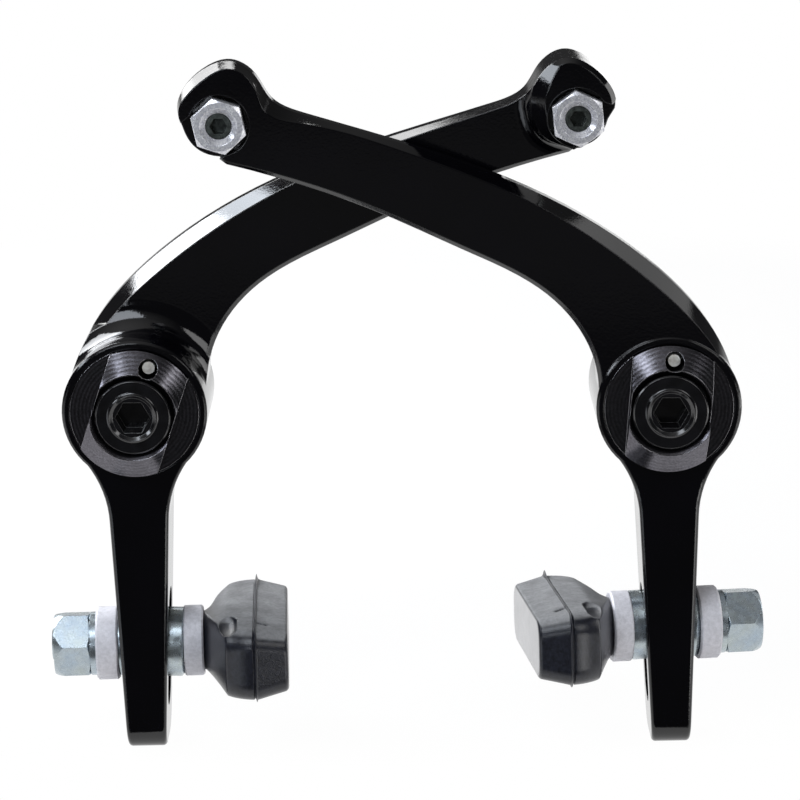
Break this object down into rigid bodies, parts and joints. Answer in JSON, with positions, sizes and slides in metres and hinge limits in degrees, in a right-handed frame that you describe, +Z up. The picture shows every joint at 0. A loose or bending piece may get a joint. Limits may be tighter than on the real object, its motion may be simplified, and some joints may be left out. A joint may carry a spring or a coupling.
{
  "type": "bicycle u-brake",
  "caption": "Bicycle rim brake of u-brake type: crossed curved black arms on frame pivots, cable anchor bolts above, rubber pads on slotted legs.",
  "frame": {"origin": "midway between the two frame studs, on the plane where the pivot sleeves seat", "axes": "+X to the right seen from the front, +Y from the front towards the frame, +Z up"},
  "size_m": [0.1188, 0.0383, 0.1147],
  "materials": {
    "arm_black": "gloss black coating on forged aluminium",
    "cap_black": "turned, black anodised",
    "bolt_black": "black oxide",
    "steel_zinc": "bright zinc plate with a blue tint",
    "steel_plain": "ground steel",
    "spring_steel": "bright drawn wire",
    "ring_silver": "matte silver",
    "bush_bronze": "plain bearing bronze",
    "pad_rubber": "moulded black rubber"
  },
  "bodies": {
    "pivots": {"left_pivot_sleeve": "steel_plain", "left_spring_adjuster": "cap_black", "left_return_spring": "spring_steel", "left_pivot_bolt": "bolt_black", "right_pivot_sleeve": "steel_plain", "right_spring_adjuster": "cap_black", "right_return_spring": "spring_steel", "right_pivot_bolt": "bolt_black"},
    "left_arm_group": {"left_arm": "arm_black", "left_pivot_bush": "bush_bronze", "left_anchor_bolt": "steel_zinc", "left_anchor_washer": "steel_zinc", "left_anchor_nut": "steel_zinc", "left_inner_dome_washer": "steel_zinc", "left_outer_dome_washer": "steel_zinc", "left_inner_dish_ring": "ring_silver", "left_outer_dish_ring": "ring_silver", "left_flat_washer": "steel_zinc", "left_pad_nut": "steel_zinc", "left_pad_stud": "steel_zinc", "left_brake_pad": "pad_rubber"},
    "right_arm_group": {"right_arm": "arm_black", "right_pivot_bush": "bush_bronze", "right_anchor_bolt": "steel_zinc", "right_anchor_washer": "steel_zinc", "right_anchor_nut": "steel_zinc", "right_inner_dome_washer": "steel_zinc", "right_outer_dome_washer": "steel_zinc", "right_inner_dish_ring": "ring_silver", "right_outer_dish_ring": "ring_silver", "right_flat_washer": "steel_zinc", "right_pad_nut": "steel_zinc", "right_pad_stud": "steel_zinc", "right_brake_pad": "pad_rubber"}
  },
  "joints": [
    {"name": "left_arm_pivot", "type": "hinge", "parent": "pivots", "child": "left_arm_group", "pos_m": [-0.0435, 0, 0], "axis": [0, -1, 0], "range_deg": [-5, 5], "stiffness_Nm_per_rad": 2, "springref_deg": 0.46, "deforming": ["left_return_spring"]},
    {"name": "right_arm_pivot", "type": "hinge", "parent": "pivots", "child": "right_arm_group", "pos_m": [0.0435, 0, 0], "axis": [0, 1, 0], "range_deg": [-5, 5], "stiffness_Nm_per_rad": 2, "springref_deg": 0.46, "deforming": ["right_return_spring"]}
  ]
}
